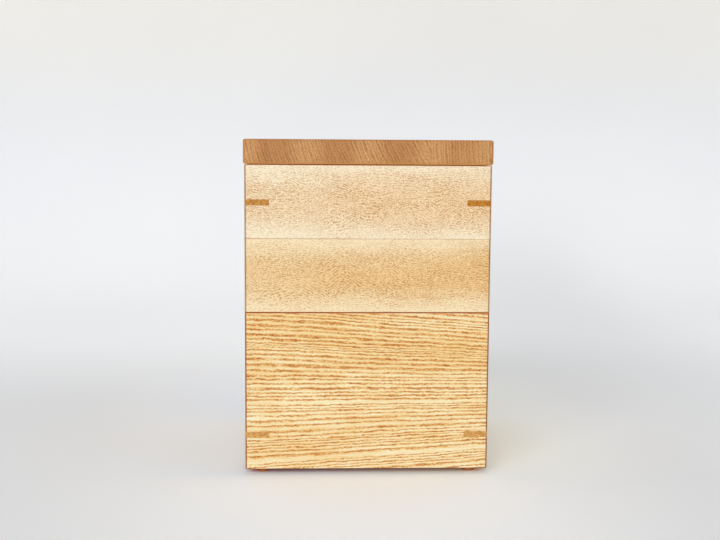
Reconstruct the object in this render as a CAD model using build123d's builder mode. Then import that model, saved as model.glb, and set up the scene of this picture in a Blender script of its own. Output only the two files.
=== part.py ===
from build123d import *
import os

# Wooden puzzle box: an ash base, a maple tier that slides off it to the right and a glued-up lid that
# slides off the tier to the back. Each slide is held shut by a turn-bolt that is worked from underneath.
# Millimetres, +Z up, front face towards -Y, origin on the table below the middle of the box.

os.makedirs("parts", exist_ok=True)

# Outside sizes
body_width = 104.0
body_depth = 104.0
base_height = 67.75
tier_height = 62.2
lid_thickness = 10.4
lid_overhang = 0.5
lid_strip_count = 4
foot_height = 2.25
foot_diameter = 6.5
foot_inset = 7.4
slide_gap = 0.2

# Walls, their corner keys and rounded edges
wall = 7.0
key_reach = 0.735
key_thickness = 2.6
base_key_rise = 15.05
tier_key_drop = 15.8
rim_round = 0.45
parting_round = 0.2
lid_edge_round = 0.9
corner_ease = 0.55
foot_chamfer = 0.4

# Thin panels that close the underside of the base and of the tier
panel_thickness = 4.0
panel_play = 0.15

# Rails inside the walls, and the hooked cleats that run under them
slide_travel = 45.0
rail_width = 5.0
rail_height = 5.0
rail_drop = 0.7
cleat_leg = 5.0
hook_height = 3.5
cleat_side_gap = 0.4
end_gap = 0.5
runner_chamfer = 0.5

# Turn-bolts
rod_diameter = 5.0
rod_clearance = 0.06
glue_gap = 0.04
arm_width = 5.0
arm_height = 4.0
hub_wall = 2.0
hub_clearance = 0.6
bolt_play = 0.5
bolt_end_gap = 0.3
block_height = 12.0
block_margin = 5.5
block_chamfer = 1.5
knob_diameter = 18.0
knob_thickness = 2.0
knob_chamfer = 0.4
knob_margin = 0.5
knob_web = 0.3
slot_width = 2.2
slot_depth = 0.7

# Levels, from the table up
base_bottom = foot_height
base_top = base_bottom + base_height
tier_bottom = base_top + slide_gap
tier_top = tier_bottom + tier_height
tier_seam = tier_bottom + tier_height / 2
lid_bottom = tier_top + slide_gap

# Sizes that follow
inner_width = body_width - 2 * wall
inner_depth = body_depth - 2 * wall
groove_depth = wall / 2
panel_recess = knob_margin + knob_thickness + bolt_end_gap
key_leg = 2 * wall * key_reach
base_key_level = base_bottom + base_key_rise
tier_key_level = tier_top - tier_key_drop
lid_width = body_width + 2 * lid_overhang
lid_depth = body_depth + 2 * lid_overhang
corner_round = rim_round + corner_ease
lid_corner_round = lid_edge_round + corner_ease
hub_radius = rod_diameter / 2 + hub_wall
arm_bite = cleat_leg - cleat_side_gap
arm_reach = hub_radius + hub_clearance + arm_bite
knob_socket = knob_thickness - slot_depth - knob_web
bolt_inset = rail_width + cleat_side_gap + cleat_leg + hub_clearance + hub_radius

half_width = body_width / 2
half_depth = body_depth / 2
corners = {
    "front_left": (-1, -1),
    "front_right": (1, -1),
    "back_right": (1, 1),
    "back_left": (-1, 1),
}
walls = {
    "front": ("front_left", "front_right"),
    "right": ("front_right", "back_right"),
    "back": ("back_right", "back_left"),
    "left": ("back_left", "front_left"),
}


def write(piece, name):
    """Labels a finished piece and writes its file."""
    piece.part.label = name
    export_step(piece.part, f"parts/{name}.step")


def corner_point(corner, inset=0.0):
    """A plan point on a corner's mitre line, moved in from both outside faces."""
    sign_x, sign_y = corners[corner]
    return (sign_x * (half_width - inset), sign_y * (half_depth - inset))


def key_triangle(corner):
    """Plan of a corner key: its two legs lie along the outside faces."""
    sign_x, sign_y = corners[corner]
    tip_x, tip_y = corner_point(corner)
    return [(tip_x, tip_y), (tip_x - sign_x * key_leg, tip_y), (tip_x, tip_y - sign_y * key_leg)]


def tier_frame(bottom, height, top_round, bottom_round, panel_level, key_level):
    """Four walls as one ring, with the groove for the panel and the saw slots for the keys."""
    with BuildPart() as frame:
        with BuildSketch(Plane.XY.offset(bottom)):
            RectangleRounded(body_width, body_depth, corner_round)
            Rectangle(inner_width, inner_depth, mode=Mode.SUBTRACT)
        extrude(amount=height)
        fillet(frame.faces().sort_by(Axis.Z)[-1].outer_wire().edges(), top_round)
        fillet(frame.faces().sort_by(Axis.Z)[0].outer_wire().edges(), bottom_round)
        with BuildSketch(Plane.XY.offset(panel_level - panel_play)):
            Rectangle(inner_width + 2 * groove_depth, inner_depth + 2 * groove_depth)
        extrude(amount=panel_thickness + 2 * panel_play, mode=Mode.SUBTRACT)
        with BuildSketch(Plane.XY.offset(key_level - key_thickness / 2)):
            for corner in corners:
                Polygon(*key_triangle(corner), align=None)
        extrude(amount=key_thickness, mode=Mode.SUBTRACT)
    return frame


def mitred_wall(frame, side, bottom, height):
    """One wall of a frame, cut off at 45 degrees at both ends."""
    start, end = walls[side]
    outline = [corner_point(start), corner_point(end), corner_point(end, wall), corner_point(start, wall)]
    with BuildPart() as piece:
        add(frame.part)
        with BuildSketch(Plane.XY.offset(bottom)):
            Polygon(*outline, align=None)
        extrude(amount=height, mode=Mode.INTERSECT)
    return piece


def corner_key(corner, level):
    """A slip of wood across a mitre, flush with both outside faces."""
    with BuildPart() as key:
        with BuildSketch(Plane.XY.offset(level - key_thickness / 2)):
            RectangleRounded(body_width, body_depth, corner_round)
        extrude(amount=key_thickness)
        with BuildSketch(Plane.XY.offset(level - key_thickness / 2)):
            Polygon(*key_triangle(corner), align=None)
        extrude(amount=key_thickness, mode=Mode.INTERSECT)
    return key


def floor_panel(level, rod_place):
    """A thin panel that floats in the wall grooves, bored for the turn-bolt's rod."""
    with BuildPart() as panel:
        with BuildSketch(Plane.XY.offset(level)):
            reach = 2 * (groove_depth - panel_play)
            Rectangle(inner_width + reach, inner_depth + reach)
            with Locations(rod_place):
                Circle(rod_diameter / 2 + rod_clearance, mode=Mode.SUBTRACT)
        extrude(amount=panel_thickness)
    return panel


def foot(corner):
    """A small turned foot under a corner."""
    with BuildPart() as piece:
        with BuildSketch():
            with Locations(corner_point(corner, foot_inset)):
                Circle(foot_diameter / 2)
        extrude(amount=foot_height)
        chamfer(piece.edges().group_by(Axis.Z)[0], foot_chamfer)
    return piece


def rail(section, side, wall_face, length, top):
    """A strip glued along the top of a wall's inner face, with its two free edges eased."""
    run = Axis((0, 0, 0), section.z_dir)
    bottom = top - rail_height
    outer = side * wall_face
    inner = side * (wall_face - rail_width)
    with BuildPart() as piece:
        with BuildSketch(section):
            Polygon((outer, bottom), (inner, bottom), (inner, top), (outer, top), align=None)
        extrude(amount=length / 2, both=True)
        chamfer(piece.edges().filter_by(run).sort_by_distance((0, 0, top))[:2], runner_chamfer)
    return piece


def hooked_cleat(section, side, wall_face, span, top, rail_bottom):
    """A cleat: a leg inside the rail and a hook that reaches out under it, eased along the bottom."""
    run = Axis((0, 0, 0), section.z_dir)
    leg_outer = wall_face - rail_width - cleat_side_gap
    leg_inner = leg_outer - cleat_leg
    hook_tip = wall_face - end_gap
    hook_top = rail_bottom - slide_gap
    hook_bottom = hook_top - hook_height
    outline = [
        (side * leg_inner, hook_bottom),
        (side * hook_tip, hook_bottom),
        (side * hook_tip, hook_top),
        (side * leg_outer, hook_top),
        (side * leg_outer, top),
        (side * leg_inner, top),
    ]
    with BuildPart() as piece:
        with BuildSketch(section.offset(span[0])):
            Polygon(*outline, align=None)
        extrude(amount=span[1] - span[0])
        chamfer(piece.edges().filter_by(run).group_by(Axis.Z)[0], runner_chamfer)
    return piece


def cleat_spans(length):
    """Start and end of the two cleats along a slide, and where the bolt turns in between them."""
    start = -length / 2 + end_gap
    end = length / 2 - end_gap - slide_travel
    turning_room = bolt_play + arm_width / 2 + arm_reach + bolt_play
    cleat_length = (end - start - turning_room) / 2
    catch_end = start + cleat_length
    bolt_along = catch_end + bolt_play + arm_width / 2
    return {"catch": (start, catch_end), "guide": (end - cleat_length, end)}, bolt_along


def bearing_block(low, high, rod_place, top, towards_wall):
    """A block glued to a wall, bored to steady the upper end of a rod, with its free corners cut off."""
    with BuildPart() as block:
        with BuildSketch(Plane.XY.offset(top - block_height)):
            with Locations(low):
                Rectangle(high[0] - low[0], high[1] - low[1], align=(Align.MIN, Align.MIN))
        extrude(amount=block_height)
        chamfer(block.edges().filter_by(Axis.Z).group_by(towards_wall)[0], block_chamfer)
        with Locations((*rod_place, top)):
            Hole(rod_diameter / 2 + rod_clearance)
    return block


def turn_bolt(name, place, heading, panel_level, arm_bottom):
    """The three glued pieces that turn together: knob below the panel, rod, and locking arm."""
    axis_plane = Plane(origin=(*place, 0), x_dir=heading, z_dir=(0, 0, 1))
    knob_top = panel_level - bolt_end_gap
    rod_bottom = knob_top - knob_socket
    arm_top = arm_bottom + arm_height

    with BuildPart() as rod:
        with BuildSketch(axis_plane.offset(rod_bottom)):
            Circle(rod_diameter / 2)
        extrude(amount=arm_top - rod_bottom)
    write(rod, f"{name}_rod")

    with BuildPart() as knob:
        with BuildSketch(axis_plane.offset(knob_top)):
            Circle(knob_diameter / 2)
        extrude(amount=-knob_thickness)
        chamfer(knob.edges().group_by(Axis.Z)[0], knob_chamfer)
        with BuildSketch(axis_plane.offset(knob_top)):
            Circle(rod_diameter / 2 + glue_gap)
        extrude(amount=-knob_socket, mode=Mode.SUBTRACT)
        with BuildSketch(axis_plane.offset(knob_top - knob_thickness)):
            Rectangle(knob_diameter, slot_width)
        extrude(amount=slot_depth, mode=Mode.SUBTRACT)
    write(knob, f"{name}_knob")

    with BuildPart() as arm:
        with BuildSketch(axis_plane.offset(arm_bottom)):
            tip_center = arm_reach - arm_width / 2
            Circle(hub_radius)
            Rectangle(tip_center, arm_width, align=(Align.MIN, Align.CENTER))
            with Locations((tip_center, 0)):
                Circle(arm_width / 2)
            Circle(rod_diameter / 2 + glue_gap, mode=Mode.SUBTRACT)
        extrude(amount=arm_height)
    write(arm, f"{name}_arm")


# Cross-sections of the two slides: the tier runs to the right and the lid to the back
tier_slide_section = Plane.YZ
lid_slide_section = Plane(origin=(0, 0, 0), x_dir=(-1, 0, 0), z_dir=(0, 1, 0))

# Where the cleats and bolts lie along the two slides
tier_cleats, base_bolt_x = cleat_spans(inner_width)
lid_cleats, lid_bolt_y = cleat_spans(inner_depth)
base_bolt_place = (base_bolt_x, inner_depth / 2 - bolt_inset)
lid_bolt_place = (inner_width / 2 - bolt_inset, lid_bolt_y)
base_rail_top = base_top - rail_drop
tier_rail_top = tier_top - rail_drop
base_panel_level = base_bottom + panel_recess
tier_panel_level = tier_bottom + panel_recess
base_block_top = base_rail_top - rail_height - slide_gap - hook_height - cleat_side_gap
tier_block_top = tier_rail_top - rail_height - slide_gap - hook_height - cleat_side_gap

# Ash base: four mitred walls, their keys, the bottom panel and the feet
base_frame = tier_frame(
    base_bottom, base_height, parting_round, rim_round, base_panel_level, base_key_level
)
for side in walls:
    write(mitred_wall(base_frame, side, base_bottom, base_height), f"base_{side}_wall")
for corner in corners:
    write(corner_key(corner, base_key_level), f"base_{corner}_key")
    write(foot(corner), f"{corner}_foot")
write(floor_panel(base_panel_level, base_bolt_place), "base_bottom_panel")

# Maple tier: each wall is two boards glued edge to edge
maple_frame = tier_frame(
    tier_bottom, tier_height, rim_round, parting_round, tier_panel_level, tier_key_level
)
for side in walls:
    whole_wall = mitred_wall(maple_frame, side, tier_bottom, tier_height)
    for level, kept in {"upper": Keep.TOP, "lower": Keep.BOTTOM}.items():
        with BuildPart() as board:
            add(whole_wall.part)
            split(bisect_by=Plane.XY.offset(tier_seam), keep=kept)
        write(board, f"tier_{side}_{level}_board")
for corner in corners:
    write(corner_key(corner, tier_key_level), f"tier_{corner}_key")
write(floor_panel(tier_panel_level, lid_bolt_place), "tier_floor_panel")

# Lid: strips glued edge to edge, rounded as one slab
with BuildPart() as lid_slab:
    with BuildSketch(Plane.XY.offset(lid_bottom)):
        RectangleRounded(lid_width, lid_depth, lid_corner_round)
    extrude(amount=lid_thickness)
    fillet(lid_slab.faces().sort_by(Axis.Z)[-1].edges(), lid_edge_round)
    fillet(lid_slab.faces().sort_by(Axis.Z)[0].edges(), lid_edge_round)
strip_width = lid_width / lid_strip_count
for number in range(lid_strip_count):
    with BuildPart() as strip:
        add(lid_slab.part)
        with BuildSketch(Plane.XY.offset(lid_bottom)):
            with Locations((-lid_width / 2 + (number + 0.5) * strip_width, 0)):
                Rectangle(strip_width, lid_depth)
        extrude(amount=lid_thickness, mode=Mode.INTERSECT)
    write(strip, f"lid_strip_{number + 1}")

# Slide between base and tier: rails on the front and back walls, cleats under the tier's floor
for side, sign in {"front": -1, "back": 1}.items():
    wall_face = inner_depth / 2
    write(rail(tier_slide_section, sign, wall_face, inner_width, base_rail_top), f"base_{side}_rail")
    for role, span in tier_cleats.items():
        rail_bottom = base_rail_top - rail_height
        cleat = hooked_cleat(tier_slide_section, sign, wall_face, span, tier_panel_level, rail_bottom)
        write(cleat, f"tier_{side}_{role}_cleat")

# Slide between tier and lid: rails on the left and right walls, cleats under the lid
for side, sign in {"left": 1, "right": -1}.items():
    wall_face = inner_width / 2
    write(rail(lid_slide_section, sign, wall_face, inner_depth, tier_rail_top), f"tier_{side}_rail")
    for role, span in lid_cleats.items():
        rail_bottom = tier_rail_top - rail_height
        cleat = hooked_cleat(lid_slide_section, sign, wall_face, span, lid_bottom, rail_bottom)
        write(cleat, f"lid_{side}_{role}_cleat")

# Bolt that locks the tier, turned from below the base; at rest its arm points right, along the slide
block_low = (base_bolt_x - hub_radius - hub_wall, base_bolt_place[1] - block_margin)
block_high = (base_bolt_x + hub_radius + hub_wall, inner_depth / 2)
write(bearing_block(block_low, block_high, base_bolt_place, base_block_top, Axis.Y), "base_bolt_block")
turn_bolt("base_bolt", base_bolt_place, (1, 0, 0), base_panel_level, base_block_top + bolt_end_gap)

# Bolt that locks the lid, turned from below the tier once it is slid out; at rest its arm points back
block_low = (lid_bolt_place[0] - block_margin, lid_bolt_y - hub_radius - hub_wall)
block_high = (inner_width / 2, lid_bolt_y + hub_radius + hub_wall)
write(bearing_block(block_low, block_high, lid_bolt_place, tier_block_top, Axis.X), "lid_bolt_block")
turn_bolt("lid_bolt", lid_bolt_place, (0, 1, 0), tier_panel_level, tier_block_top + bolt_end_gap)
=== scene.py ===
import math

import bmesh
import bpy
from mathutils import Matrix, Vector


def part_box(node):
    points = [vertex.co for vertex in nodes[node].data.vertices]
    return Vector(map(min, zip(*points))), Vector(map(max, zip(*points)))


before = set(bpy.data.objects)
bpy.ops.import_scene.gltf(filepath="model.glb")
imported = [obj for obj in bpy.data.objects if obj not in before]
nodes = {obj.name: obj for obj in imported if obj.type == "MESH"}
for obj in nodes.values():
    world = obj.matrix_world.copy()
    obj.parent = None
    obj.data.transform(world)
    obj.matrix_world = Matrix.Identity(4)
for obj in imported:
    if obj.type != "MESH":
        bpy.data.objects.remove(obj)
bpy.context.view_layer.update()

# Patterns are drawn in millimetres and object coordinates are metres
MILLIMETRES = 1000.0
ALONG_X = 0.0
ALONG_Y = math.radians(-90)
UP, DOWN = 1, -1
# Noise is weak along its own lattice, so the lattice is turned off the faces of the box
NOISE_TURN = (0.5, 0.7, 0.3)
# A level edge's dark line is full up to the first distance in from the edge and gone at the second
LINE_FULL, LINE_GONE = 0.10, 0.32
# A rim's upper face darkens outwards with painted shade between these distances from the middle of the box,
# in metres
RIM_DARKENS, RIM_DARKEST = 0.0500, 0.0512
# How squarely a level face looks up or down, and an upright or rounded one at most
LEVEL, NOT_LEVEL = 0.99, 0.8


def srgb(red, green, blue):
    """A colour as it looks on paper, 0 to 255, as the linear colour a shader takes."""
    levels = [part / 255 for part in (red, green, blue)]
    return [v / 12.92 if v <= 0.04045 else ((v + 0.055) / 1.055) ** 2.4 for v in levels] + [1.0]


WHITE = srgb(255, 255, 255)
# Painted shade: the warm dark brown put on the wood just beside the gap where tier and base part
PAINTED_PARTING_SHADE = srgb(206, 98, 8)


class Finish:
    """One finish as a node material. Its place is in millimetres, with X along the grain."""

    def __init__(self, name, grain_turn=ALONG_X, cut_from=0.0):
        self.material = bpy.data.materials.new(name)
        self.material.use_nodes = True
        self.nodes = self.material.node_tree.nodes
        self.links = self.material.node_tree.links
        self.nodes.clear()
        coordinates = self.add("ShaderNodeTexCoord", {})
        self.normal = coordinates.outputs["Normal"]
        self.spot = coordinates.outputs["Object"]
        turned = self.add("ShaderNodeMapping", {
            "Vector": self.spot,
            "Scale": [MILLIMETRES] * 3,
            "Rotation": (0, 0, grain_turn),
            "Location": (0, cut_from, 0),
        })
        self.place = turned.outputs[0]
        self.along, self.deep, self.up = self.split(self.place)

    def add(self, kind, inputs, **settings):
        node = self.nodes.new(kind)
        for setting, value in settings.items():
            setattr(node, setting, value)
        for socket, value in inputs.items():
            if isinstance(value, bpy.types.NodeSocket):
                self.links.new(value, node.inputs[socket])
            else:
                node.inputs[socket].default_value = value
        return node

    def split(self, vector):
        return self.add("ShaderNodeSeparateXYZ", {0: vector}).outputs[:]

    def join(self, along, deep, up):
        return self.add("ShaderNodeCombineXYZ", {0: along, 1: deep, 2: up}).outputs[0]

    def maths(self, operation, *terms):
        return self.add("ShaderNodeMath", dict(enumerate(terms)), operation=operation).outputs[0]

    def plus(self, first, second):
        return self.maths("ADD", first, second)

    def times(self, first, second):
        return self.maths("MULTIPLY", first, second)

    def weigh(self, first, first_share, second, second_share):
        """Two values, each times its share, added up."""
        return self.plus(self.times(first, first_share), self.times(second, second_share))

    def span(self, value, low, high, to_low=0.0, to_high=1.0):
        """Value as it goes from low to high, eased into to_low up to to_high and held there."""
        inputs = dict(enumerate((value, low, high, to_low, to_high)))
        return self.add("ShaderNodeMapRange", inputs, interpolation_type="SMOOTHSTEP").outputs[0]

    def cloud(self, size, detail=2.0, place=None, warp=0.0):
        """Noise from 0 to 1 whose clouds are about as long, deep and tall as size says."""
        scaled = self.add("ShaderNodeMapping", {
            "Vector": place or self.place,
            "Scale": [1 / side for side in size],
            "Rotation": NOISE_TURN,
        })
        noise = {"Vector": scaled.outputs[0], "Scale": 1.0, "Detail": detail, "Distortion": warp}
        return self.add("ShaderNodeTexNoise", noise).outputs[0]

    def wander(self, size, reach, detail=2.0):
        """Noise about zero that moves a line by up to about half of reach either way."""
        return self.times(self.plus(self.cloud(size, detail), -0.5), reach)

    def bunched_lines(self, value, line_width, bunch_rate, detail, bunching):
        """A wave from -1 to 1, one turn for each line_width of value, whose lines bunch unevenly."""
        noise = {"W": self.times(value, bunch_rate), "Scale": 1.0, "Detail": detail}
        uneven = self.add("ShaderNodeTexNoise", noise, noise_dimensions="1D").outputs[0]
        return self.maths("SINE", self.weigh(value, 2 * math.pi / line_width, uneven, bunching))

    def ramp(self, value, *stops):
        """Value turned into a colour, through stops of (value, colour)."""
        node = self.add("ShaderNodeValToRGB", {0: value})
        points = node.color_ramp.elements
        while len(points) < len(stops):
            points.new(0.5)
        for point, (position, colour) in zip(points, stops):
            point.position = position
            point.color = colour
        return node.outputs[0]

    def tint(self, under, over, amount, blend="MIX"):
        mixed = self.add("ShaderNodeMix", {0: amount, 6: under, 7: over}, data_type="RGBA", blend_type=blend)
        return mixed.outputs[2]

    def facing(self):
        """How squarely the surface faces sideways, to front or back, and up or down, each 0 to 1."""
        return [self.maths("ABSOLUTE", part) for part in self.split(self.normal)]

    def eased_edge(self):
        """1 where a rounded edge turns the surface away from the box's directions, 0 on flats."""
        aside, ahead, up = self.facing()
        squarest = self.maths("MAXIMUM", self.maths("MAXIMUM", aside, ahead), up)
        flat, rounded = 0.997, 0.90
        return self.span(squarest, flat, rounded)

    def eased_corner(self):
        """1 where an upright corner is rounded, 0 on the flats and along the rims."""
        aside, ahead, _ = self.facing()
        flat, rounded = 0.08, 0.45
        return self.span(self.maths("MINIMUM", aside, ahead), flat, rounded)

    def edge_line(self, level, inward, strength):
        """A thin line along a level edge, on the upright faces only; inward says which way it fades."""
        gone, full = level + LINE_GONE * inward, level + LINE_FULL * inward
        line = self.span(self.up, gone, full, 0.0, strength)
        return self.times(line, self.span(self.facing()[2], LEVEL, NOT_LEVEL))

    def painted_rim_shade(self):
        """1 along the outer edge of a rim's upper face, where painted shade darkens it in the gap under the
        tier.
        """
        aside, ahead, _ = [self.maths("ABSOLUTE", part) for part in self.split(self.spot)]
        outward = self.maths("MAXIMUM", aside, ahead)
        edge = self.span(outward, RIM_DARKENS, RIM_DARKEST)
        return self.times(edge, self.span(self.facing()[2], NOT_LEVEL, LEVEL))

    def coat(self, colour, height, dullest, glossiest, gloss_size=(9, 9, 3), depth=0.00012, glow=0.0,
             glow_colour=WHITE):
        """Joins the colour to a surface with bump from height, uneven gloss and, on the paper, glow."""
        gloss = self.span(self.cloud(gloss_size, 3.0), 0.3, 0.7, glossiest, dullest)
        bump = self.add("ShaderNodeBump", {"Height": height, "Strength": 0.5, "Distance": depth})
        wood = self.add("ShaderNodeBsdfPrincipled", {
            "Base Color": colour,
            "Roughness": gloss,
            "Normal": bump.outputs[0],
            "Specular IOR Level": 0.35,
            "Emission Color": glow_colour,
            "Emission Strength": glow,
        })
        self.add("ShaderNodeOutputMaterial", {0: wood.outputs[0]})
        return self.material


def ash(name, grain_turn, cut_from, heart_height, taper, wall):
    """Pale ash with close amber ring lines that draw together along the wall, broken into dashes."""
    wood = Finish(name, grain_turn, cut_from)
    bottom, top = wall
    middle = (bottom + top) / 2
    # The rings lean into the wall, so that they run straight along its rim
    lean, first_ring = 1.1, 39.0
    # How long, deep and tall the waves of a ring line are, and how far they move it
    waves = [((80, 30, 22), 2.6), ((7, 5, 2.5), 1.2), ((1.2, 2, 1.0), 0.85)]
    spread = wood.plus(1.0, wood.times(wood.along, -taper))
    rings = wood.maths("DIVIDE", wood.plus(wood.up, -heart_height), spread)
    rings = wood.plus(rings, wood.plus(wood.times(wood.deep, lean), first_ring))
    for size, reach in waves:
        rings = wood.plus(rings, wood.wander(size, reach))
    ring_wave = wood.bunched_lines(rings, line_width=1.65, bunch_rate=0.1, detail=3.0, bunching=28.0)
    line = wood.span(ring_wave, -0.72, 1.0)
    ring_place = wood.join(wood.along, wood.deep, rings)
    dash = wood.span(wood.cloud((5, 4, 0.7), 3.0, ring_place), 0.36, 0.64)
    streak = wood.span(wood.cloud((13, 5, 0.6), 3.0, ring_place), 0.34, 0.66)
    pores = wood.span(wood.cloud((0.8, 0.5, 0.3), 2.0, ring_place), 0.40, 0.66)
    early = wood.times(line, wood.plus(0.32, wood.times(dash, 0.68)))
    grain = wood.weigh(early, 0.54, streak, 0.22)
    grain = wood.plus(grain, wood.times(pores, wood.plus(0.14, wood.times(line, 0.38))))
    colour = wood.ramp(grain, (0.0, srgb(255, 252, 220)), (0.32, srgb(250, 224, 166)),
                       (0.64, srgb(229, 175, 101)), (1.0, srgb(188, 112, 42)))
    tone = wood.span(wood.cloud((70, 30, 11), 2.0), 0.35, 0.68, 0.0, 0.6)
    tone = wood.plus(tone, wood.span(wood.up, middle, top, 0.25, 0.6))
    colour = wood.tint(colour, srgb(246, 228, 200), tone, "MULTIPLY")
    # Painted shade: rounded edges darkened to a deep warm brown
    colour = wood.tint(colour, srgb(152, 72, 16), wood.times(wood.eased_edge(), 0.9))
    # Painted shade on the rim's outer edge, seen through the gap under the tier
    colour = wood.tint(colour, srgb(186, 104, 34), wood.times(wood.painted_rim_shade(), 0.6))
    # Painted shade along the top edge, beside the gap under the tier
    colour = wood.tint(colour, PAINTED_PARTING_SHADE, wood.edge_line(top, DOWN, 1.0))
    # Painted shade: a dark maroon line along the bottom edge, for the dark gap under the base
    colour = wood.tint(colour, srgb(100, 36, 12), wood.edge_line(bottom, UP, 1.0))
    height = wood.weigh(grain, -0.6, wood.cloud((2.5, 0.4, 0.25), 2.0), 0.5)
    return wood.coat(colour, height, 0.62, 0.44)


def maple_fleck(wood):
    """Fine curly strokes, broken up and mixed with specks, strong in patches and faint on the rims."""
    stroke_width = 0.95
    rim_share = 0.35
    curl = wood.plus(wood.wander((14, 60, 40), 15.0, 1.0), wood.wander((3, 5, 3), 1.8, 1.0))
    curl = wood.plus(curl, wood.wander((0.9, 0.9, 0.8), 0.7, 1.0))
    across = wood.plus(wood.plus(wood.up, wood.deep), curl)
    stroke_wave = wood.maths("SINE", wood.times(across, 2 * math.pi / stroke_width))
    stroke = wood.span(stroke_wave, -0.85, 0.85)
    stroke_place = wood.join(wood.along, wood.deep, across)
    broken = wood.span(wood.cloud((0.85, 0.8, 0.6), 1.0, stroke_place), 0.34, 0.64)
    speck = wood.span(wood.cloud((0.6, 0.5, 0.36), 1.0), 0.36, 0.64)
    patch = wood.span(wood.cloud((20, 9, 8), 2.0), 0.36, 0.66)
    fleck = wood.weigh(wood.times(stroke, broken), 0.75, speck, 0.5)
    fleck = wood.times(fleck, wood.plus(0.7, wood.times(patch, 0.3)))
    return wood.times(fleck, wood.span(wood.facing()[2], 0.6, 0.9, 1.0, rim_share))


def maple(name, grain_turn, cut_from, board, band_height, pale, tawny, lower_edge):
    """Cream maple with fine curly flecks and a tawny mottled band along the board."""
    wood = Finish(name, grain_turn, cut_from)
    bottom, top = board
    edge_colour, edge_strength = lower_edge
    # Along the board from start to end the band gets wider and stronger
    start, end = -60, 50
    band_reach = (top - bottom) * 0.52
    rim_depth = 0.6
    streak = wood.plus(wood.cloud((45, 12, 2.6), 3.0), -0.5)
    drift = wood.plus(wood.up, wood.wander((40, 30, 20), 9.0))
    from_band = wood.maths("ABSOLUTE", wood.plus(drift, -band_height))
    from_band = wood.times(from_band, wood.span(wood.along, start, end, 0.98, 0.88))
    band = wood.span(from_band, band_reach, 0)
    band = wood.times(band, wood.span(wood.along, start, end, 0.72, 1.28))
    band = wood.plus(band, wood.times(streak, 0.5))
    colour = wood.ramp(band, (0.0, pale), (1.0, tawny))
    fleck = wood.times(maple_fleck(wood), wood.span(band, 0.0, 0.6, 0.62, 1.12))
    colour = wood.tint(colour, srgb(206, 172, 130), fleck, "MULTIPLY")
    patchy = wood.span(wood.cloud((26, 8, 8), 2.0), 0.3, 0.6, 0.65, 1.0)
    patchy = wood.times(patchy, wood.span(wood.along, -40, 30, 1.0, 0.7))
    # Along the lower edge: a glue line on the upper board, painted shade beside the parting gap on the lower
    # board
    edge = wood.times(patchy, wood.edge_line(bottom, UP, edge_strength))
    colour = wood.tint(colour, edge_colour, edge)
    # Painted shade: rounded upright corners darkened
    colour = wood.tint(colour, srgb(150, 86, 40), wood.times(wood.eased_corner(), 0.75))
    # Painted shade on a board's rounded top rim, in the crevice under the lid
    rim = wood.times(wood.eased_edge(), wood.span(wood.up, top - rim_depth, top))
    colour = wood.tint(colour, srgb(190, 106, 40), wood.times(rim, 0.85))
    height = wood.weigh(fleck, -0.35, wood.cloud((3, 0.4, 0.3), 2.0), 0.4)
    return wood.coat(colour, height, 0.56, 0.40)


def lid_wood(name, cut_from, strip_middle, half_width, pith_along, pith_height, heart_shade):
    """Nut-brown strip: year rings about its own pith show as end grain at front and back."""
    wood = Finish(name, ALONG_X, cut_from)
    aside = wood.plus(wood.along, -pith_along)
    above = wood.plus(wood.up, -pith_height)
    radius = wood.maths("SQRT", wood.plus(wood.times(aside, aside), wood.times(above, above)))
    radius = wood.plus(radius, wood.wander((7, 90, 7), 1.6))
    radius = wood.plus(radius, wood.wander((1.4, 40, 3.0), 0.9))
    ring_wave = wood.bunched_lines(radius, line_width=1.25, bunch_rate=0.45, detail=2.0, bunching=8.0)
    line = wood.span(ring_wave, -0.5, 1.0)
    strength = wood.span(wood.cloud((5, 60, 5), 2.0), 0.35, 0.65, 0.5, 1.0)
    speck = wood.span(wood.cloud((0.4, 6, 0.5), 2.0), 0.3, 0.7)
    grain = wood.weigh(wood.times(line, strength), 0.46, speck, 0.52)
    colour = wood.ramp(grain, (0.0, srgb(220, 168, 110)), (0.45, srgb(198, 144, 85)),
                       (1.0, srgb(152, 96, 38)))
    from_middle = wood.maths("ABSOLUTE", wood.plus(wood.along, -strip_middle))
    heart = wood.span(from_middle, half_width, 0, 0.0, heart_shade)
    shade = wood.plus(heart, wood.wander((9, 120, 12), 0.3))
    colour = wood.tint(colour, srgb(232, 217, 198), shade, "MULTIPLY")
    edge = wood.eased_edge()
    # Painted shade: rounded edges darkened a little
    colour = wood.tint(colour, srgb(190, 112, 44), wood.times(edge, 0.35))
    # Painted light: the rounding that faces down is made a brighter orange, to lift its shade
    underneath = wood.span(wood.split(wood.normal)[2], -0.05, -0.5)
    colour = wood.tint(colour, srgb(222, 154, 80), wood.times(wood.times(edge, underneath), 0.7))
    height = wood.weigh(grain, -0.5, wood.cloud((0.3, 3, 0.3), 2.0), 0.4)
    return wood.coat(colour, height, 0.55, 0.38)


def key_slip(name, light, dark, cut_from):
    """A thin slip of darker wood let into the corner, its grain running across the mitre."""
    wood = Finish(name, math.radians(45), cut_from)
    streak = wood.cloud((6, 0.9, 0.45), 3.0)
    hatch = wood.cloud((0.9, 0.9, 0.4), 2.0, warp=1.5)
    grain = wood.weigh(streak, 0.55, hatch, 0.45)
    colour = wood.ramp(grain, (0.40, light), (0.60, dark))
    height = wood.times(grain, -0.5)
    return wood.coat(colour, height, 0.58, 0.42)


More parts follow.
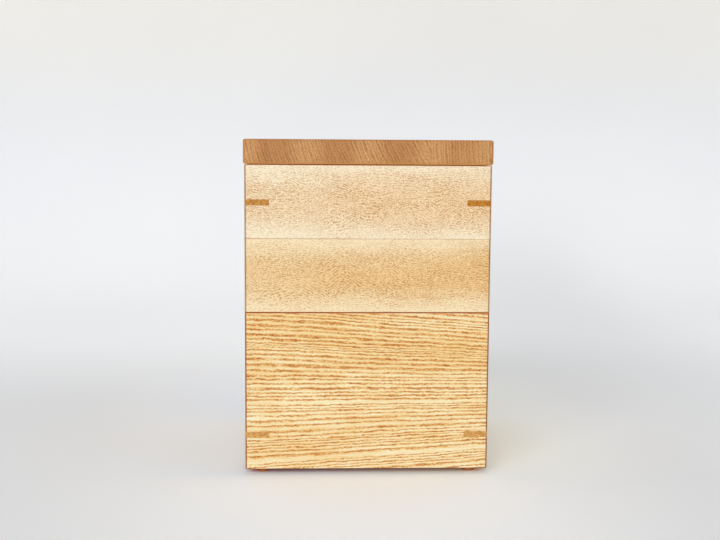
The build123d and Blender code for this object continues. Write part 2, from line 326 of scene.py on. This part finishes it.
def plain_wood(name, grain_turn, light, dark, fibre, edge_colour, cut_from=0.0):
    """Inside and underside pieces: straight fibres, cloudy tone and darker rounded edges."""
    wood = Finish(name, grain_turn, cut_from)
    streak = wood.cloud(fibre, 3.0)
    tone = wood.cloud((25, 14, 14), 2.0)
    grain = wood.weigh(streak, 0.7, tone, 0.3)
    colour = wood.ramp(grain, (0.33, light), (0.68, dark))
    colour = wood.tint(colour, edge_colour, wood.times(wood.eased_edge(), 0.5))
    height = wood.times(streak, -0.6)
    return wood.coat(colour, height, 0.66, 0.48)


def put_on(node_name, material):
    slots = nodes[node_name].data.materials
    slots.clear()
    slots.append(material)


def dress_base():
    # Way of the grain, where the board is cut from, height of its heart, how fast its rings draw together
    walls = {
        "front": (ALONG_X, 0, 36, 0.0023),
        "right": (ALONG_Y, 200, 22, -0.0015),
        "back": (ALONG_X, 400, 50, -0.0020),
        "left": (ALONG_Y, 600, 40, 0.0012),
    }
    for side, (grain_turn, cut_from, heart_height, taper) in walls.items():
        low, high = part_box(f"base_{side}_wall")
        wall = (low.z * MILLIMETRES, high.z * MILLIMETRES)
        put_on(f"base_{side}_wall", ash(f"ash_{side}", grain_turn, cut_from, heart_height, taper, wall))


def dress_tier():
    turns = {"front": ALONG_X, "right": ALONG_Y, "back": ALONG_X, "left": ALONG_Y}
    wall_step, layer_step = 150, 70
    # Pale wood, tawny band, how far up the board the band lies, and the line along the lower edge: a glue
    # line on the upper board, painted shade beside the parting gap on the lower
    layers = {
        "upper": (srgb(255, 242, 211), srgb(252, 224, 181), 0.51, (srgb(176, 96, 10), 1.0)),
        "lower": (srgb(255, 236, 196), srgb(248, 213, 153), 0.50, (PAINTED_PARTING_SHADE, 1.0)),
    }
    for place, (side, grain_turn) in enumerate(turns.items()):
        for layer, (pale, tawny, band_share, lower_edge) in layers.items():
            low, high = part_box(f"tier_{side}_{layer}_board")
            bottom, top = low.z * MILLIMETRES, high.z * MILLIMETRES
            band_height = bottom + band_share * (top - bottom)
            cut_from = wall_step * place + (layer_step if layer == "upper" else 0)
            finish = maple(f"maple_{side}_{layer}", grain_turn, cut_from, (bottom, top), band_height,
                           pale, tawny, lower_edge)
            put_on(f"tier_{side}_{layer}_board", finish)


def dress_lid():
    # How far each strip's rings lean from upright, in degrees, and how dark its middle is
    strips = {1: (15, 1.35), 2: (22, 1.3), 3: (27, 1.05), 4: (4, 0.7)}
    pith_distance, strip_step = 85, 130
    for strip, (degrees, heart_shade) in strips.items():
        low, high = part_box(f"lid_strip_{strip}")
        middle = (low + high) / 2 * MILLIMETRES
        pith_along = middle.x + pith_distance * math.cos(math.radians(degrees))
        pith_height = middle.z + pith_distance * math.sin(math.radians(degrees))
        half_width = (high.x - low.x) / 2 * MILLIMETRES
        finish = lid_wood(f"lid_wood_{strip}", strip_step * strip, middle.x, half_width, pith_along,
                          pith_height, heart_shade)
        put_on(f"lid_strip_{strip}", finish)


def dress_keys():
    tan_slip = key_slip("tan_key_wood", srgb(232, 180, 104), srgb(182, 120, 48), 60)
    red_slips = {
        "left": key_slip("red_key_wood_left", srgb(222, 166, 78), srgb(162, 94, 16), 0),
        "right": key_slip("red_key_wood_right", srgb(212, 146, 34), srgb(158, 82, 0), 30),
    }
    for corner in ("front_left", "front_right", "back_right", "back_left"):
        side = corner.split("_")[1]
        put_on(f"tier_{corner}_key", red_slips[side])
        put_on(f"base_{corner}_key", tan_slip)


def dress_inside():
    # The rounded edges of these pieces are darker
    darker_edge = srgb(176, 124, 72)
    runner = (srgb(226, 184, 138), srgb(196, 146, 98), (16, 1.2, 1.2), darker_edge)
    panel = plain_wood("panel_wood", ALONG_X, srgb(232, 205, 160), srgb(208, 172, 120), (40, 3, 2), darker_edge)
    runner_x = plain_wood("runner_wood_along", ALONG_X, *runner)
    runner_y = plain_wood("runner_wood_across", ALONG_Y, *runner, cut_from=80)
    dowel = plain_wood("dowel_wood", ALONG_X, srgb(233, 204, 158), srgb(205, 165, 112), (0.8, 0.8, 14),
                       darker_edge)
    walnut = plain_wood("knob_wood", ALONG_X, srgb(146, 98, 62), srgb(98, 62, 38), (12, 1, 1.5),
                        srgb(74, 46, 28))
    # The feet's orange-brown is their own, made lighter by painted light for the box's shadow they stand in
    feet = plain_wood("foot_wood", ALONG_X, srgb(222, 142, 62), srgb(192, 110, 42), (5, 0.8, 0.8),
                      srgb(160, 86, 32))
    for name in nodes:
        if name.endswith("_panel"):
            put_on(name, panel)
        elif name.endswith("_rod"):
            put_on(name, dowel)
        elif name.endswith(("_knob", "_arm")):
            put_on(name, walnut)
        elif name.endswith("_foot"):
            put_on(name, feet)
        elif name.endswith(("_rail", "_cleat", "_block")):
            runs_along_y = name.startswith(("tier_left", "tier_right", "lid_"))
            put_on(name, runner_y if runs_along_y else runner_x)


def paper_sweep():
    """A floor of pale paper that curves up into the backdrop."""
    half_width, front, bend_start, bend_radius, rise = 3.0, -3.0, 0.45, 0.45, 2.2
    mesh = bmesh.new()
    edge = mesh.edges.new([mesh.verts.new((side * half_width, front, 0)) for side in (-1, 1)])

    def run_out(edges, step):
        made = bmesh.ops.extrude_edge_only(mesh, edges=edges)["geom"]
        moved = [part for part in made if isinstance(part, bmesh.types.BMVert)]
        bmesh.ops.translate(mesh, verts=moved, vec=step)
        return [part for part in made if isinstance(part, bmesh.types.BMEdge)]

    far_edge = run_out([edge], (0, bend_start - front, 0))
    far_edge = [part for part in far_edge if all(v.co.y > front for v in part.verts)]
    bent = bmesh.ops.spin(mesh, geom=far_edge + list(far_edge[0].verts), cent=(0, bend_start, bend_radius),
                          axis=(1, 0, 0), angle=math.radians(90), steps=24)["geom_last"]
    top_edge = [part for part in bent if isinstance(part, bmesh.types.BMEdge)]
    run_out(top_edge, (0, 0, rise))
    bmesh.ops.recalc_face_normals(mesh, faces=mesh.faces)
    for face in mesh.faces:
        face.smooth = True
    data = bpy.data.meshes.new("paper_sweep")
    mesh.to_mesh(data)
    mesh.free()
    sweep = bpy.data.objects.new("paper_sweep", data)
    bpy.context.scene.collection.objects.link(sweep)
    data.materials.append(backdrop_paper())


def backdrop_paper():
    """Matt pale paper, a little paler to the eye in front of the box, with a painted pool of light, and
    where it rises behind.
    """
    paper = Finish("backdrop_paper")
    aside = paper.maths("ABSOLUTE", paper.along)
    glow, glow_colour = paper_glow(paper, aside)
    return paper.coat(paper_tone(paper, aside), paper.cloud((2, 2, 2)), 0.95, 0.85, depth=0.00002,
                      glow=glow, glow_colour=glow_colour)


def paper_tone(paper, aside):
    """The paper's own colour, with a painted warm shade in the gap under the box."""
    cloudy = paper.ramp(paper.cloud((300, 300, 300)), (0.3, srgb(247, 248, 250)), (0.7, srgb(251, 252, 253)))
    rise_starts, rise_ends = 120, 330
    higher = paper.span(paper.up, rise_starts, rise_ends)
    wall = paper.tint(cloudy, srgb(255, 251, 243), higher, "MULTIPLY")
    # Painted shade: the paper under the box is darkened to a warm tint
    outside, inside = 53, 47
    front_outside, front_inside = -49.5, -45
    shade_under_box = paper.times(paper.span(paper.deep, front_outside, front_inside),
                            paper.span(paper.deep, outside, inside))
    shade_under_box = paper.times(shade_under_box, paper.span(aside, outside, inside))
    return paper.tint(wall, srgb(236, 164, 148), shade_under_box, "MULTIPLY")


def paper_glow(paper, aside):
    """What the paper adds to its own light for the eye alone: how much, and in which colour."""
    front_glow, back_glow, left_glow, right_glow = 0.125, 0.12, 0.07, 0.09
    box_front, clear_front = -50, -64

    # In front of the box a round glow: a painted pool of light, the bright box's light on the paper
    glow_middle, round_edge, round_core = -100, 160, 20
    ahead = paper.plus(paper.deep, -glow_middle)
    from_front = paper.plus(paper.times(paper.along, paper.along), paper.times(ahead, ahead))
    from_front = paper.maths("SQRT", from_front)
    clear_of_box = paper.span(paper.deep, box_front, clear_front)
    light_pool_in_front = paper.times(paper.span(from_front, round_edge, round_core, 0.0, front_glow), clear_of_box)

    # Behind the box it grows towards the bend and fades up the wall, less in the box's shade to the right
    floor_starts, floor_full, wall_ends = 40, 330, 230
    shade_middle, shade_edge, shade_core, shade_top, shade_foot, shade_depth = 170, 140, 20, 110, 10, -0.6
    on_floor = paper.span(paper.deep, floor_starts, floor_full)
    behind = paper.times(on_floor, paper.span(paper.up, wall_ends, 0, 0.0, back_glow))
    from_shade = paper.maths("ABSOLUTE", paper.plus(paper.along, -shade_middle))
    shaded = paper.times(paper.span(from_shade, shade_edge, shade_core),
                         paper.span(paper.up, shade_top, shade_foot, 0.0, shade_depth))
    behind = paper.times(behind, paper.plus(shaded, 1.0))

    # Beside the box a painted light lifts the paper, more on the right in the box's shade; the wood throws
    # warm light on the paper beside it, so this glow is cool, most on the lit left
    side_ends, side_full, back_ends, back_full = 150, 60, 230, 60
    beside_box = paper.times(paper.span(aside, side_ends, side_full),
                             paper.span(paper.deep, back_ends, back_full))
    beside_box = paper.times(beside_box, paper.span(paper.deep, clear_front, box_front))
    on_right = paper.span(paper.along, -side_full, side_full)
    cooled = paper.tint(srgb(89, 179, 255), srgb(238, 255, 218), on_right)
    painted_side_light = paper.times(beside_box, paper.span(on_right, 0, 1, left_glow, right_glow))

    seen = paper.add("ShaderNodeLightPath", {}).outputs["Is Camera Ray"]
    glow = paper.times(paper.plus(paper.plus(light_pool_in_front, behind), painted_side_light), seen)
    return glow, paper.tint(WHITE, cooled, beside_box)


def photo_camera():
    """The camera where the photograph was taken from: place in metres, angles in degrees."""
    place = Vector((-0.02222, -0.51972, 0.13832))
    turn_right, look_down, roll = math.radians(2.307), math.radians(6.102), math.radians(0.369)
    image_width, focal_pixels = 720, 1115.2
    camera = bpy.data.objects.new("photo_camera", bpy.data.cameras.new("photo_camera"))
    camera.data.sensor_width = 36
    camera.data.lens = focal_pixels / image_width * camera.data.sensor_width
    camera.matrix_world = (
        Matrix.Translation(place)
        @ Matrix.Rotation(-turn_right, 4, "Z")
        @ Matrix.Rotation(math.radians(90) - look_down, 4, "X")
        @ Matrix.Rotation(roll, 4, "Z")
    )
    bpy.context.scene.collection.objects.link(camera)
    bpy.context.scene.camera = camera


def soft_light(name, place, aim, size, power):
    lamp = bpy.data.lights.new(name, "AREA")
    lamp.shape = "SQUARE"
    lamp.size = size
    lamp.energy = power
    light = bpy.data.objects.new(name, lamp)
    towards = Vector(aim) - Vector(place)
    light.matrix_world = Matrix.Translation(place) @ towards.to_track_quat("-Z", "Y").to_matrix().to_4x4()
    bpy.context.scene.collection.objects.link(light)


def studio_light():
    box_middle = (0, 0, 0.08)
    soft_light("window_left", (-1.5, -3.8, 1.6), box_middle, 3.2, 103)
    soft_light("fill_right", (1.6, -0.9, 1.0), box_middle, 1.2, 3)
    room = bpy.data.worlds.new("studio_room")
    bpy.context.scene.world = room
    room.use_nodes = True
    walls = room.node_tree.nodes["Background"]
    walls.inputs["Color"].default_value = srgb(244, 247, 252)
    # The room lights the box softly, and past the edge of the paper it looks as pale as the paper
    light_given, paleness_seen = 0.45, 0.92
    seen = room.node_tree.nodes.new("ShaderNodeLightPath").outputs["Is Camera Ray"]
    strength = room.node_tree.nodes.new("ShaderNodeMapRange")
    strength.inputs["To Min"].default_value = light_given
    strength.inputs["To Max"].default_value = paleness_seen
    room.node_tree.links.new(seen, strength.inputs["Value"])
    room.node_tree.links.new(strength.outputs[0], walls.inputs["Strength"])


dress_base()
dress_tier()
dress_lid()
dress_keys()
dress_inside()
paper_sweep()
photo_camera()
studio_light()
bpy.context.scene.view_settings.view_transform = "Standard"
